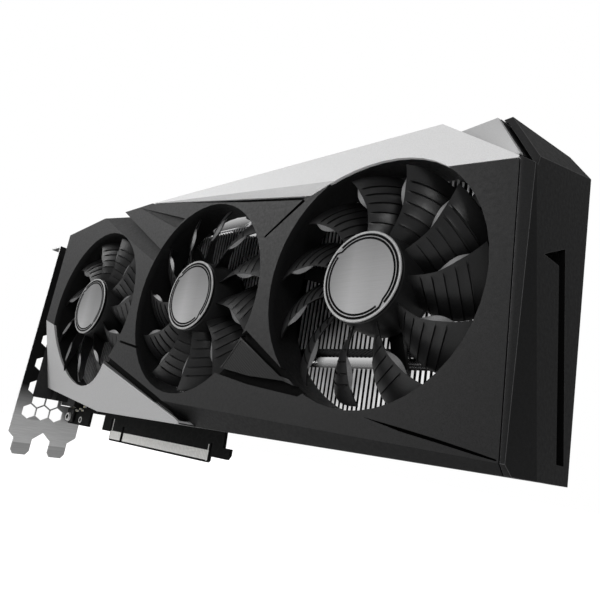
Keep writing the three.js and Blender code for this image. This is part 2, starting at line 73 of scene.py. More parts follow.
# ------------------------------------------------------------------ materials
def new_mat(name):
    m = bpy.data.materials.new(name)
    m.use_nodes = True
    nt = m.node_tree
    p = next(n for n in nt.nodes if n.type == "BSDF_PRINCIPLED")
    return m, nt, p

def link(nt, a, b):
    nt.links.new(a, b)

def coords(nt, scale=(1, 1, 1), loc=(0, 0, 0), rot=(0, 0, 0)):
    tc = nt.nodes.new("ShaderNodeTexCoord")
    mp = nt.nodes.new("ShaderNodeMapping")
    mp.inputs["Scale"].default_value = scale
    mp.inputs["Location"].default_value = loc
    mp.inputs["Rotation"].default_value = rot
    link(nt, tc.outputs["Object"], mp.inputs["Vector"])
    return mp.outputs["Vector"]

def noise(nt, vec, scale, detail=3.0, rough=0.5):
    n = nt.nodes.new("ShaderNodeTexNoise")
    n.inputs["Scale"].default_value = scale
    n.inputs["Detail"].default_value = detail
    n.inputs["Roughness"].default_value = rough
    link(nt, vec, n.inputs["Vector"])
    return n.outputs["Fac"]

def ramp(nt, fac, stops):
    r = nt.nodes.new("ShaderNodeValToRGB")
    while len(r.color_ramp.elements) < len(stops):
        r.color_ramp.elements.new(0.5)
    for e, (pos, col) in zip(r.color_ramp.elements, stops):
        e.position = pos
        e.color = (*col, 1) if len(col) == 3 else col
    link(nt, fac, r.inputs["Fac"])
    return r.outputs["Color"]

def maprange(nt, fac, lo, hi, a=0.0, b=1.0):
    r = nt.nodes.new("ShaderNodeMapRange")
    r.inputs["From Min"].default_value = a
    r.inputs["From Max"].default_value = b
    r.inputs["To Min"].default_value = lo
    r.inputs["To Max"].default_value = hi
    link(nt, fac, r.inputs["Value"])
    return r.outputs["Result"]

def bump(nt, p, height, strength, dist, prev=None):
    b = nt.nodes.new("ShaderNodeBump")
    b.inputs["Strength"].default_value = strength
    b.inputs["Distance"].default_value = dist
    link(nt, height, b.inputs["Height"])
    if prev is not None:
        link(nt, prev, b.inputs["Normal"])
    link(nt, b.outputs["Normal"], p.inputs["Normal"])
    return b.outputs["Normal"]

def moulded(name, dark, light, rough=(0.42, 0.6), speck=5200, speck_amt=0.25, spec=0.5):
    """Matte moulded plastic with a fine spark-eroded grain and faint mottling."""
    m, nt, p = new_mat(name)
    v = coords(nt)
    fine = noise(nt, v, speck, 2.0, 0.6)
    wide = noise(nt, v, 55, 3.0, 0.5)
    mid = noise(nt, v, 900, 2.0, 0.5)
    col_a = ramp(nt, fine, [(0.35, dark), (0.62, light)])
    mix = nt.nodes.new("ShaderNodeMix"); mix.data_type = "RGBA"; mix.blend_type = "MULTIPLY"
    mix.inputs["Factor"].default_value = 0.35
    link(nt, col_a, mix.inputs[6])
    link(nt, ramp(nt, wide, [(0.3, (0.8, 0.8, 0.8)), (0.7, (1.1, 1.1, 1.1))]), mix.inputs[7])
    link(nt, mix.outputs[2], p.inputs["Base Color"])
    link(nt, maprange(nt, mid, rough[0], rough[1], 0.3, 0.7), p.inputs["Roughness"])
    p.inputs["Specular IOR Level"].default_value = spec
    bump(nt, p, fine, speck_amt, 0.00006)
    return m

def metal(name, dark, light, rough=(0.25, 0.42), scale=(1, 1, 1), grain=900, metallic=1.0, bump_s=0.06):
    m, nt, p = new_mat(name)
    v = coords(nt, scale)
    g = noise(nt, v, grain, 3.0, 0.6)
    w = noise(nt, coords(nt), 40, 3.0, 0.5)
    link(nt, ramp(nt, g, [(0.3, dark), (0.7, light)]), p.inputs["Base Color"])
    link(nt, maprange(nt, w, rough[0], rough[1], 0.3, 0.7), p.inputs["Roughness"])
    p.inputs["Metallic"].default_value = metallic
    bump(nt, p, g, bump_s, 0.00005)
    return m

def silver_paint(name, dark, light, rough=(0.34, 0.44)):
    """Metallic flake paint: fine bright flakes under a satin clear coat."""
    m, nt, p = new_mat(name)
    v = coords(nt)
    flake = noise(nt, v, 7000, 1.0, 0.4)
    wide = noise(nt, v, 30, 2.0, 0.5)
    link(nt, ramp(nt, flake, [(0.35, dark), (0.65, light)]), p.inputs["Base Color"])
    link(nt, maprange(nt, wide, rough[0], rough[1], 0.3, 0.7), p.inputs["Roughness"])
    p.inputs["Metallic"].default_value = 0.12
    p.inputs["Coat Weight"].default_value = 0.05
    p.inputs["Coat Roughness"].default_value = 0.3
    bump(nt, p, flake, 0.08, 0.00003)
    return m

MAT = {
    "shroud_black": moulded("shroud_black", (0.0075, 0.0075, 0.0078), (0.0185, 0.0185, 0.019), rough=(0.45, 0.6), spec=0.22),
    "tail_black": moulded("tail_black", (0.0055, 0.0055, 0.0058), (0.0115, 0.0115, 0.0118), rough=(0.5, 0.62), spec=0.16),
    "fan_black": moulded("fan_black", (0.006, 0.006, 0.0063), (0.010, 0.010, 0.0103), rough=(0.36, 0.44), speck=3500, speck_amt=0.06, spec=0.32),
    "base_black": moulded("base_black", (0.006, 0.006, 0.006), (0.010, 0.010, 0.010), rough=(0.5, 0.65), spec=0.2),
    "silver_paint": silver_paint("silver_paint", (0.60, 0.60, 0.60), (0.72, 0.72, 0.725), rough=(0.55, 0.65)),
    # painted shade: a darker copy of the silver paint for the down-facing lower panel
    "silver_low_painted_shade": silver_paint("silver_low_painted_shade", (0.33, 0.33, 0.33), (0.41, 0.41, 0.415), rough=(0.5, 0.6)),
    # painted highlight: a brighter copy of the silver paint for bevelled edges
    "silver_edge_painted_highlight": silver_paint("silver_edge_painted_highlight", (0.78, 0.78, 0.78), (0.88, 0.88, 0.88), rough=(0.4, 0.5)),
    # painted highlight: a lighter black for bright edges
    "edge_painted_highlight": moulded("edge_painted_highlight", (0.05, 0.05, 0.051), (0.075, 0.075, 0.076), rough=(0.4, 0.5), spec=0.3),
    "wing_grey": silver_paint("wing_grey", (0.42, 0.42, 0.42), (0.50, 0.50, 0.505), rough=(0.5, 0.6)),
    "steel": metal("steel", (0.45, 0.45, 0.46), (0.65, 0.65, 0.66)),
    "magnet_dark": moulded("magnet_dark", (0.05, 0.05, 0.052), (0.09, 0.09, 0.092)),
    "copper_winding": metal("copper_winding", (0.42, 0.17, 0.06), (0.75, 0.36, 0.17), grain=2500, bump_s=0.3),
    "chip_black": moulded("chip_black", (0.012, 0.012, 0.012), (0.022, 0.022, 0.022), rough=(0.4, 0.55)),
    "substrate_green": moulded("substrate_green", (0.02, 0.09, 0.045), (0.04, 0.15, 0.08), rough=(0.35, 0.5)),
    "die_grey": metal("die_grey", (0.2, 0.21, 0.24), (0.3, 0.31, 0.34), rough=(0.08, 0.14)),
    "choke_grey": moulded("choke_grey", (0.09, 0.09, 0.092), (0.15, 0.15, 0.152), rough=(0.55, 0.7)),
    "capacitor_can": metal("capacitor_can", (0.55, 0.55, 0.57), (0.75, 0.75, 0.77)),
    "copper_plate": metal("copper_plate", (0.6, 0.27, 0.13), (0.85, 0.45, 0.25), scale=(1, 1, 12)),
    "nickel_pipe": metal("nickel_pipe", (0.72, 0.72, 0.73), (0.88, 0.88, 0.89), rough=(0.16, 0.28), scale=(0.15, 1, 1)),
    # painted shade: the fin plates are painted nearly black so the gaps between the fins read as shade
    "fin_aluminium": metal("fin_aluminium", (0.035, 0.035, 0.036), (0.06, 0.06, 0.061), rough=(0.4, 0.5)),
    "bracket_nickel": None,
    # painted shade: near-black for the insides of grooves and slots
    "groove_painted_shade": moulded("groove_painted_shade", (0.0012, 0.0012, 0.0012), (0.0022, 0.0022, 0.0022), rough=(0.7, 0.8), spec=0.05),
    # painted shade: a darker black for the down-facing bevel facet of the shroud
    "bevel_painted_shade": moulded("bevel_painted_shade", (0.0042, 0.0042, 0.0044), (0.0095, 0.0095, 0.0098), rough=(0.5, 0.62), spec=0.14),
    # painted shade: the port shells are painted dark as if in shadow
    "port_shell": metal("port_shell", (0.03, 0.03, 0.031), (0.05, 0.05, 0.051), rough=(0.4, 0.5)),
    "screw_steel": metal("screw_steel", (0.38, 0.38, 0.39), (0.6, 0.6, 0.61)),
    "power_black": moulded("power_black", (0.012, 0.012, 0.012), (0.02, 0.02, 0.02)),
    "backplate_black": moulded("backplate_black", (0.016, 0.016, 0.0165), (0.034, 0.034, 0.035), rough=(0.4, 0.52), speck=4000),
}

def bracket_mat():
    """Nickel-plated steel sheet: fine rolled grain, with a painted reflection that darkens it towards the top."""
    m, nt, p = new_mat("bracket_nickel")
    v = coords(nt, (1, 0.4, 14))
    g = noise(nt, v, 260, 4.0, 0.55)
    tc = nt.nodes.new("ShaderNodeTexCoord")
    sx = nt.nodes.new("ShaderNodeSeparateXYZ"); link(nt, tc.outputs["Object"], sx.inputs[0])
    # painted reflection: the colour runs from near-black at the top to bright silver lower down
    h = maprange(nt, sx.outputs["Z"], 1.0, 0.0, 0.004, 0.022)
    base = nt.nodes.new("ShaderNodeMix"); base.data_type = "RGBA"
    link(nt, h, base.inputs["Factor"])
    link(nt, ramp(nt, g, [(0.3, (0.012, 0.012, 0.012)), (0.7, (0.022, 0.022, 0.022))]), base.inputs[6])
    link(nt, ramp(nt, g, [(0.3, (0.68, 0.68, 0.68)), (0.7, (0.84, 0.84, 0.84))]), base.inputs[7])
    # painted shade: the feet behind the sheet are darkened as if in shadow, and the tongues are darkened below the bend
    # line where they are joggled
    foot_painted_shade = maprange(nt, sx.outputs["X"], 1.0, 0.06, -0.0939, -0.0936)
    tip = maprange(nt, sx.outputs["Z"], 0.68, 1.0, -0.0100, -0.0096)
    k0 = nt.nodes.new("ShaderNodeMath"); k0.operation = "MULTIPLY"
    link(nt, foot_painted_shade, k0.inputs[0]); link(nt, tip, k0.inputs[1])
    vs = nt.nodes.new("ShaderNodeVectorMath"); vs.operation = "SCALE"
    link(nt, base.outputs[2], vs.inputs[0]); link(nt, k0.outputs[0], vs.inputs["Scale"])
    link(nt, vs.outputs[0], p.inputs["Base Color"])
    p.inputs["Metallic"].default_value = 0.6
    link(nt, maprange(nt, g, 0.34, 0.46, 0.3, 0.7), p.inputs["Roughness"])
    bump(nt, p, g, 0.05, 0.00005)
    return m
MAT["bracket_nickel"] = bracket_mat()

def board_mat():
    """Black solder mask over copper: faint raised tracks and pads."""
    m, nt, p = new_mat("board_black")
    v = coords(nt, (1, 1, 1))
    vo = nt.nodes.new("ShaderNodeTexVoronoi"); vo.feature = "DISTANCE_TO_EDGE"
    vo.inputs["Scale"].default_value = 230
    link(nt, v, vo.inputs["Vector"])
    fine = noise(nt, v, 2600, 2.0, 0.5)
    tr = ramp(nt, vo.outputs["Distance"], [(0.04, (0.006, 0.0065, 0.0062)), (0.09, (0.003, 0.0033, 0.0033))])
    link(nt, tr, p.inputs["Base Color"])
    link(nt, maprange(nt, fine, 0.45, 0.6, 0.3, 0.7), p.inputs["Roughness"])
    p.inputs["Specular IOR Level"].default_value = 0.08
    b1 = bump(nt, p, vo.outputs["Distance"], 0.1, 0.00008)
    bump(nt, p, fine, 0.08, 0.00003, b1)
    return m
MAT["board_black"] = board_mat()

def contact_mat():
    """Plated contact fingers with dark gaps at 1 mm pitch."""
    m, nt, p = new_mat("contact_pale")
    tc = nt.nodes.new("ShaderNodeTexCoord")
    sx = nt.nodes.new("ShaderNodeSeparateXYZ"); link(nt, tc.outputs["Object"], sx.inputs[0])
    mod = nt.nodes.new("ShaderNodeMath"); mod.operation = "MULTIPLY"; mod.inputs[1].default_value = 1000.0
    link(nt, sx.outputs["X"], mod.inputs[0])
    fr = nt.nodes.new("ShaderNodeMath"); fr.operation = "FRACT"
    link(nt, mod.outputs[0], fr.inputs[0])
    tri = nt.nodes.new("ShaderNodeMath"); tri.operation = "PINGPONG"; tri.inputs[1].default_value = 0.5
    link(nt, fr.outputs[0], tri.inputs[0])
    g = noise(nt, coords(nt, (1, 1, 0.3)), 1500, 2.0, 0.5)
    gold = ramp(nt, g, [(0.3, (0.78, 0.775, 0.75)), (0.7, (0.90, 0.895, 0.87))])
    mix = nt.nodes.new("ShaderNodeMix"); mix.data_type = "RGBA"
    link(nt, maprange(nt, tri.outputs[0], 0.35, 1.0, 0.08, 0.16), mix.inputs["Factor"])
    mix.inputs[6].default_value = (0.45, 0.45, 0.43, 1)
    link(nt, gold, mix.inputs[7])
    link(nt, mix.outputs[2], p.inputs["Base Color"])
    p.inputs["Metallic"].default_value = 0.15
    p.inputs["Roughness"].default_value = 0.42
    bump(nt, p, tri.outputs[0], 0.25, 0.00008)
    return m
MAT["contact_pale"] = contact_mat()

def disc_mat(cx):
    """Spun aluminium disc with circular brushing, darker bands, a painted soft highlight left of the middle and a
    double dark ring broken in two places.
    """
    m, nt, p = new_mat("brushed_disc_%d" % round(cx))
    tc = nt.nodes.new("ShaderNodeTexCoord")
    off = nt.nodes.new("ShaderNodeVectorMath"); off.operation = "SUBTRACT"
    off.inputs[1].default_value = (cx * MM, 0, FAN_Z * MM)
    link(nt, tc.outputs["Object"], off.inputs[0])
    sx = nt.nodes.new("ShaderNodeSeparateXYZ"); link(nt, off.outputs[0], sx.inputs[0])
    # straight horizontal brushing
    mp = nt.nodes.new("ShaderNodeMapping"); mp.inputs["Scale"].default_value = (0.25, 1, 22)
    link(nt, off.outputs[0], mp.inputs["Vector"])
    g = noise(nt, mp.outputs["Vector"], 420, 4.0, 0.6)
    base = ramp(nt, g, [(0.25, (0.165, 0.165, 0.165)), (0.75, (0.215, 0.215, 0.218))])
    # painted highlight: a soft upright sheen left of the middle, brighter lower down
    sh = nt.nodes.new("ShaderNodeMath"); sh.operation = "ABSOLUTE"
    so = nt.nodes.new("ShaderNodeMath"); so.operation = "ADD"; so.inputs[1].default_value = 0.003
    link(nt, sx.outputs["X"], so.inputs[0]); link(nt, so.outputs[0], sh.inputs[0])
    sheen = maprange(nt, sh.outputs[0], 1.22, 0.98, 0.0, 0.007)
    low = maprange(nt, sx.outputs["Z"], 1.12, 0.94, -0.012, 0.012)
    ml = nt.nodes.new("ShaderNodeMath"); ml.operation = "MULTIPLY"
    link(nt, sheen, ml.inputs[0]); link(nt, low, ml.inputs[1])
    vm = nt.nodes.new("ShaderNodeVectorMath"); vm.operation = "SCALE"
    link(nt, base, vm.inputs[0]); link(nt, ml.outputs[0], vm.inputs["Scale"])
    link(nt, vm.outputs[0], p.inputs["Base Color"])
    p.inputs["Metallic"].default_value = 0.35
    link(nt, maprange(nt, g, 0.46, 0.58, 0.3, 0.7), p.inputs["Roughness"])
    p.inputs["Anisotropic"].default_value = 0.4
    bump(nt, p, g, 0.08, 0.00004)
    return m

def hatch_mat():
    """Black plastic with a moulded fine diagonal hatch."""
    m, nt, p = new_mat("hatch_black")
    v = coords(nt, (1, 1, 1), (0, 0, 0), (0, math.radians(-33), 0))
    w = nt.nodes.new("ShaderNodeTexWave"); w.wave_type = "BANDS"; w.bands_direction = "Z"
    w.inputs["Scale"].default_value = 420; w.inputs["Distortion"].default_value = 2.4; w.inputs["Detail"].default_value = 2.0
    link(nt, v, w.inputs["Vector"])
    g = noise(nt, coords(nt), 4200, 2.0, 0.6)
    mx = nt.nodes.new("ShaderNodeMix"); mx.data_type = "RGBA"
    link(nt, w.outputs["Fac"], mx.inputs["Factor"])
    link(nt, ramp(nt, g, [(0.3, (0.006, 0.006, 0.006)), (0.7, (0.009, 0.009, 0.009))]), mx.inputs[6])
    link(nt, ramp(nt, g, [(0.3, (0.008, 0.008, 0.008)), (0.7, (0.012, 0.012, 0.012))]), mx.inputs[7])
    link(nt, mx.outputs[2], p.inputs["Base Color"])
    p.inputs["Roughness"].default_value = 0.5
    p.inputs["Specular IOR Level"].default_value = 0.14
    bump(nt, p, w.outputs["Fac"], 0.2, 0.0002)
    return m
HATCH = hatch_mat()

def fin_front_painted_glow_mat(name, cx, painted_glow):
    """Aluminium fin edges with a painted glow (emission) that grows towards the lower right of the stack."""
    m, nt, p = new_mat(name)
    g = noise(nt, coords(nt, (1, 1, 0.2)), 900, 3.0, 0.6)
    link(nt, ramp(nt, g, [(0.3, (0.62, 0.62, 0.63)), (0.7, (0.82, 0.82, 0.83))]), p.inputs["Base Color"])
    p.inputs["Metallic"].default_value = 0.6
    p.inputs["Roughness"].default_value = 0.35
    tc = nt.nodes.new("ShaderNodeTexCoord")
    sx = nt.nodes.new("ShaderNodeSeparateXYZ"); link(nt, tc.outputs["Object"], sx.inputs[0])
    ax = nt.nodes.new("ShaderNodeMath"); ax.operation = "MULTIPLY_ADD"; ax.inputs[1].default_value = 16.0; ax.inputs[2].default_value = -16.0 * cx * MM
    link(nt, sx.outputs["X"], ax.inputs[0])
    az = nt.nodes.new("ShaderNodeMath"); az.operation = "MULTIPLY_ADD"; az.inputs[1].default_value = -26.0; az.inputs[2].default_value = 26.0 * FAN_Z * MM
    link(nt, sx.outputs["Z"], az.inputs[0])
    sm = nt.nodes.new("ShaderNodeMath"); sm.operation = "ADD"
    link(nt, ax.outputs[0], sm.inputs[0]); link(nt, az.outputs[0], sm.inputs[1])
    w = noise(nt, coords(nt), 90, 2.0, 0.5)
    k = nt.nodes.new("ShaderNodeMath"); k.operation = "MULTIPLY"
    link(nt, maprange(nt, sm.outputs[0], 0.0, painted_glow, -0.15, 0.85), k.inputs[0]); link(nt, maprange(nt, w, 0.5, 1.15, 0.35, 0.65), k.inputs[1])
    p.inputs["Emission Color"].default_value = (1, 1, 1, 1)
    link(nt, k.outputs[0], p.inputs["Emission Strength"])
    bump(nt, p, g, 0.08, 0.00005)
    return m

def flat_dark(name, col, rough=0.5):
    m, nt, p = new_mat(name)
    g = noise(nt, coords(nt), 1800, 2.0, 0.5)
    link(nt, ramp(nt, g, [(0.3, tuple(c * 0.75 for c in col)), (0.7, col)]), p.inputs["Base Color"])
    link(nt, maprange(nt, g, rough - 0.06, rough + 0.06, 0.3, 0.7), p.inputs["Roughness"])
    return m
RING_DARK = flat_dark("ring_dark", (0.0022, 0.0022, 0.0022), 0.7)
next(n for n in RING_DARK.node_tree.nodes if n.type == "BSDF_PRINCIPLED").inputs["Specular IOR Level"].default_value = 0.05
DISC_RIM = metal("disc_rim", (0.24, 0.24, 0.24), (0.32, 0.32, 0.32), rough=(0.45, 0.55), metallic=0.35)
# painted highlight: the splitters are painted much lighter than the black blades they belong to
SPLITTER_PAINTED_HIGHLIGHT = moulded("blade_splitter_painted_highlight", (0.075, 0.075, 0.076), (0.115, 0.115, 0.117), rough=(0.34, 0.44), speck=3500, speck_amt=0.06)

slot_of = {s["node"]: s["material_slot"] for s in frame["record"]["subparts"]}
for name, o in N.items():
    if name.startswith("emblem_"):
        continue
    mat = MAT[slot_of[name]]
    o.data.materials.clear()
    o.data.materials.append(mat)

# ------------------------------------------------------------------ mesh helpers
def make(name, verts, faces, mat, body, smooth=False, scale=MM):
    me = bpy.data.meshes.new(name)
    me.from_pydata([tuple(c * scale for c in v) for v in verts], [], faces)
    me.update()
    o = bpy.data.objects.new(name, me)
    bpy.context.scene.collection.objects.link(o)
    me.materials.append(mat)
    if smooth:
        for f in me.polygons: f.use_smooth = True
    if body:
        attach(o, body)
    return o

def outward(o):
    bm = bmesh.new(); bm.from_mesh(o.data)
    bmesh.ops.recalc_face_normals(bm, faces=bm.faces)
    bm.to_mesh(o.data); bm.free()
    return o

def prism_y(pts, y0, y1):
    """Closed prism of an outline in x, z between two y values; y0 and y1 may be functions of (x, z)."""
    n = len(pts)
    f0 = y0 if callable(y0) else (lambda x, z: y0)
    f1 = y1 if callable(y1) else (lambda x, z: y1)
    v = [(x, f0(x, z), z) for x, z in pts] + [(x, f1(x, z), z) for x, z in pts]
    f = [list(range(n)), list(range(2 * n - 1, n - 1, -1))]
    for i in range(n):
        j = (i + 1) % n
        f.append([i, i + n, j + n, j])
    return v, f

def temp(name, v, f):
    me = bpy.data.meshes.new(name)
    me.from_pydata([tuple(c * MM for c in p) for p in v], [], f)
    me.update()
    o = bpy.data.objects.new(name, me)
    bpy.context.scene.collection.objects.link(o)
    outward(o)
    return o

def copy_node(node, name):
    o = bpy.data.objects.new(name, N[node].data.copy())
    bpy.context.scene.collection.objects.link(o)
    bm = bmesh.new(); bm.from_mesh(o.data)
    bmesh.ops.remove_doubles(bm, verts=bm.verts, dist=1e-6)
    bmesh.ops.dissolve_limit(bm, angle_limit=math.radians(0.4), verts=bm.verts, edges=bm.edges)
    bm.to_mesh(o.data); bm.free()
    return o

def apply_mods(o):
    dg = bpy.context.evaluated_depsgraph_get()
    dg.update()
    me = bpy.data.meshes.new_from_object(o.evaluated_get(dg))
    o.modifiers.clear()
    o.data = me
    return o

def cut(o, cutters, solver="EXACT"):
    for c in cutters:
        m = o.modifiers.new("cut", "BOOLEAN")
        m.operation = "DIFFERENCE"; m.solver = solver; m.object = c
        apply_mods(o)
        bpy.data.objects.remove(c)
    return o

def bevel(o, width, segs=2, angle=25, edge_mat=-1):
    m = o.modifiers.new("bevel", "BEVEL")
    m.material = edge_mat
    m.width = width * MM; m.segments = segs; m.limit_method = "ANGLE"; m.angle_limit = math.radians(angle)
    m.harden_normals = False
    m.use_clamp_overlap = True
    apply_mods(o)
    return o

def smooth_by_angle(o, deg=30):
    me = o.data
    for f in me.polygons:
        f.use_smooth = len(f.vertices) <= 8 and f.area < 3e-4
    bm = bmesh.new(); bm.from_mesh(me)
    for e in bm.edges:
        if len(e.link_faces) == 2 and e.calc_face_angle(0) > math.radians(deg):
            e.smooth = False
    bm.to_mesh(me); bm.free()

def finish_piece(o, mat, body, slot, *nodes, deg=30):
    o.data.materials.clear(); o.data.materials.append(mat)
    smooth_by_angle(o, deg)
    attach(o, body)
    if nodes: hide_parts(*nodes)
    return o

# ------------------------------------------------------------------ cover
def strip(a, b, wa, wb, y0=-36.5, depth=1.6):
    """A groove from point a to point b in the front face, wa and wb wide at its ends."""
    a, b = Vector(a), Vector(b)
    d = (b - a).normalized(); n = Vector((-d.y, d.x))
    pts = [a + n * wa / 2, a - n * wa / 2, b - n * wb / 2, b + n * wb / 2]
    return prism_y([(p.x, p.y) for p in pts], y0, Y_FRONT + depth)

shroud = copy_node("front_shroud", "shroud_visual")
GROOVES = [
    ([(-3.9, 36.6), (0.9, 37.9), (49.0, 21.9), (66.3, 15.3), (65.4, 14.6), (46.6, 20.5)], 1.9),
    ([(6.6, 45.15), (25.3, 41.9), (25.1, 40.9), (6.5, 44.2)], 1.3),
    ([(77.5, 32.6), (81.4, 34.4), (98.0, 31.9), (114.0, 30.9), (124.8, 28.2), (121.5, 26.4), (98.6, 29.0), (82.0, 32.0)], 2.1),
    ([(90.0, 45.2), (93.0, 47.2), (113.0, 34.6), (119.0, 30.9), (112.3, 32.3)], 2.1),
    ([(93.5, 80.7), (93.2, 81.5), (109.6, 92.5), (110.8, 91.7)], 1.8),
    ([(145.9, 22.6), (158.2, 20.85), (168.4, 19.25), (178.3, 17.45), (183.2, 16.45), (183.1, 16.1), (178.3, 16.75), (168.5, 18.35), (158.3, 19.9)], 1.9),
    ([(43.5, 104.7), (81.2, 98.3), (110.6, 93.3), (109.6, 92.3), (81.3, 97.0), (44.0, 103.9)], 1.5),
]
DARK_TRI = [(-2.2, 110.2), (39.6, 97.5), (34.4, 93.9)]
HATCHED = [(91.0, 43.6), (83.6, 33.9), (98.0, 31.6), (116.6, 30.6)]
cutters = [temp("cutter", *prism_y(o_, -37.5, Y_FRONT + d_)) for o_, d_ in GROOVES]
cutters.append(temp("cutter", *prism_y(DARK_TRI, -37.5, lambda x, z: -35.42 + 2.0 * min(1, max(0, (x + 2.2) / 38)))))
cut(shroud, cutters)
cut(shroud, [temp("cutter", *prism_y(HATCHED, -37.5, Y_FRONT + 0.12))])
for n_ in ("e0", "e1", "e2", "e3", "e4", "e5"):
    shroud.data.materials.append(MAT["shroud_black"])
bevel(shroud, 0.16, 2, 20, 5)
edge_faces = [p_.index for p_ in shroud.data.polygons if p_.material_index == 5]
finish_piece(shroud, MAT["shroud_black"], "card", "shroud_black", "front_shroud")
shroud.data.materials.append(MAT["groove_painted_shade"])
shroud.data.materials.append(HATCH)
shroud.data.materials.append(MAT["bevel_painted_shade"])
shroud.data.materials.append(MAT["tail_black"])
shroud.data.materials.append(MAT["edge_painted_highlight"])
# painted light: the shroud's base colour is scaled from 1.2 at the left to 0.64 at the right, lighter where the key
# light falls
nt_ = MAT["shroud_black"].node_tree
pb_ = next(n for n in nt_.nodes if n.type == "BSDF_PRINCIPLED")
src_ = pb_.inputs["Base Color"].links[0].from_socket
sxs_ = nt_.nodes.new("ShaderNodeSeparateXYZ")
tcs_ = nt_.nodes.new("ShaderNodeTexCoord")
link(nt_, tcs_.outputs["Object"], sxs_.inputs[0])
shroud_painted_light_scale = nt_.nodes.new("ShaderNodeVectorMath"); shroud_painted_light_scale.operation = "SCALE"
link(nt_, src_, shroud_painted_light_scale.inputs[0])
link(nt_, maprange(nt_, sxs_.outputs["X"], 1.2, 0.64, -0.012, 0.078), shroud_painted_light_scale.inputs["Scale"])
link(nt_, shroud_painted_light_scale.outputs[0], pb_.inputs["Base Color"])
for p_ in shroud.data.polygons: p_.material_index = 0

def inside(poly, x, z, grow=0.25):
    """True where x, z lies in the outline or within grow of it."""
    c = False
    n = len(poly)
    for i in range(n):
        (x0, z0), (x1, z1) = poly[i], poly[(i + 1) % n]
        if (z0 > z) != (z1 > z) and x < (x1 - x0) * (z - z0) / (z1 - z0) + x0: c = not c
        ex, ez = x1 - x0, z1 - z0
        t = max(0, min(1, ((x - x0) * ex + (z - z0) * ez) / (ex * ex + ez * ez)))
        if math.hypot(x0 + t * ex - x, z0 + t * ez - z) < grow: return True
    return c
for p_ in shroud.data.polygons:
    cx_, cy_, cz_ = (v / MM for v in p_.center)
    n_ = p_.normal
    # painted shade: the walls of the fan openings get the darker tail black
    if abs(n_.y) < 0.6 and any(math.hypot(cx_ - fx_, cz_ - FAN_Z) < 39.2 for fx_ in FAN_X) and cy_ > -35.3:
        p_.material_index = 4; continue
    # painted shade: the down-facing bevel facet gets the darker bevel material
    if cy_ > -31.5: 
        if n_.dot(Vector((-0.0276, -0.6892, -0.724))) > 0.985: p_.material_index = 3
        elif cy_ > -30: p_.material_index = 0
        continue
    if n_.dot(Vector((-0.0276, -0.6892, -0.724))) > 0.985:
        p_.material_index = 3; continue
    # painted shade: the floors and walls of the grooves get the near-black groove material
    if cy_ > Y_FRONT + 0.35:
        for o_, d_ in GROOVES:
            if inside(o_, cx_, cz_): p_.material_index = 1; break
        else:
            if inside(DARK_TRI, cx_, cz_): p_.material_index = 4
    elif cy_ > Y_FRONT + 0.06 and n_.y < -0.95 and inside(HATCHED, cx_, cz_, 0.0):
        p_.material_index = 2
# painted highlight: thin bright edges on the outside folds and rims
for i_ in edge_faces:
    p_ = shroud.data.polygons[i_]
    if p_.center.y / MM < -35.15 and p_.material_index == 0: p_.material_index = 5

for nd, nm, w in (("silver_panel_upper", "silver_upper_visual", 0.22), ("silver_panel_lower", "silver_lower_visual", 0.3),
                  ("tail_cover", "tail_visual", 0.3), ("wing_trim", "wing_visual", 0.15)):
    o = copy_node(nd, nm)
    # painted shade: the lower silver panel, which faces down, gets a darker copy of the silver paint
    main = MAT["silver_low_painted_shade"] if nd == "silver_panel_lower" else MAT[slot_of[nd]]
    # painted highlight: the bevel faces of the silver panels and the tail cover get a brighter edge material
    edge = MAT["silver_edge_painted_highlight"] if "silver" in nm else MAT["edge_painted_highlight"] if nd == "tail_cover" else main
    o.data.materials.clear(); o.data.materials.append(main); o.data.materials.append(edge)
    bevel(o, w, 2, 20, 1)
    smooth_by_angle(o, 30)
    if nd == "tail_cover":
        # painted shade: the walls of the upright slot are painted near-black
        o.data.materials.append(MAT["groove_painted_shade"])
        for p_ in o.data.polygons:
            x_, y_, z_ = (v / MM for v in p_.center)
            if abs(p_.normal.x) < 0.6 and -31 < y_ < -7 and 17 < z_ < 73.5 and x_ > 185.5: p_.material_index = 2
    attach(o, "card"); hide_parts(nd)

su = bpy.data.objects["silver_upper_visual"]
su.data.materials.append(MAT["wing_grey"])
for p_ in su.data.polygons:
    if p_.normal.y < -0.985 and p_.material_index != 1: p_.material_index = 2

# ------------------------------------------------------------------ fans
def lerp(t, x):
    for (x0, y0), (x1, y1) in zip(t, t[1:]):
        if x <= x1: return y0 + (y1 - y0) * (x - x0) / (x1 - x0)
    return t[-1][1]
SWEEP = [(13, 0), (19, 0), (23, 1), (29, 6), (33, 9), (37, 13)]
CHORD = [(13, 25), (20, 27), (29, 27), (37, 24)]
PHASE = [97, 85, 97]
BLADE_R = 36.6

def blade_point(f, k, r, u):
    """Point of the blade's mean surface: r in mm, u from the leading to the trailing edge."""
    hand = HAND[f]
    th = PHASE[f] + k * 360 / 11 + hand * (lerp(SWEEP, r) - u * lerp(CHORD, r))
    y = -33.2 + 9.4 * u - 0.8 * math.sin(math.pi * u) + 1.1 * (max(0, (r - 29) / 8) ** 1.5) * (1 - u)
    t = math.radians(th)
    return Vector((FAN_X[f] + r * math.cos(t), y, FAN_Z + r * math.sin(t)))

